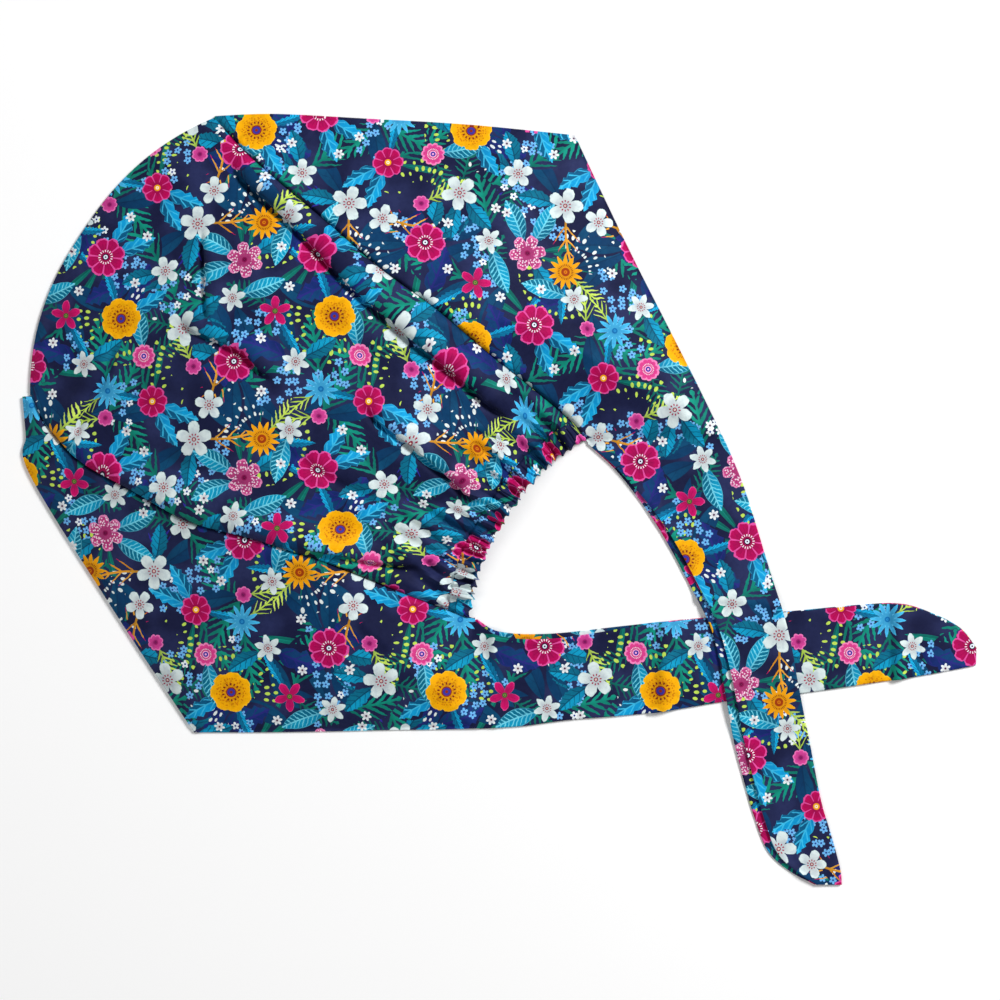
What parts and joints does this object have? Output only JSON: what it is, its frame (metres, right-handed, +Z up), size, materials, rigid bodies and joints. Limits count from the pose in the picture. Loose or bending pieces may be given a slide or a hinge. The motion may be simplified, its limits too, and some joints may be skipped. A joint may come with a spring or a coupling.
{
  "type": "tie-back surgical scrub cap",
  "caption": "Soft tie-back scrub cap of printed cotton, lying flat nape side up, with a full gathered crown, a wide front band, a nape elastic and crossed ties.",
  "frame": {"origin": "under the middle of the whole cap, on the surface it lies on", "axes": "+X from the far end of the crown to the tips of the ties, +Y towards the side of the right tie, +Z up"},
  "size_m": [0.4446, 0.318, 0.0313],
  "materials": {
    "crown_cotton": "plain-weave cotton with an all-over small flower print on navy",
    "band_cotton": "plain-weave cotton with an all-over small flower print on navy",
    "casing_cotton": "gathered printed cotton over elastic",
    "tie_cotton": "two plies of printed plain-weave cotton, pressed flat"
  },
  "bodies": {
    "root": {"crown": "crown_cotton", "front_band": "band_cotton", "elastic_casing": "casing_cotton", "tie_right": "tie_cotton", "tie_left": "tie_cotton"}
  },
  "joints": []
}
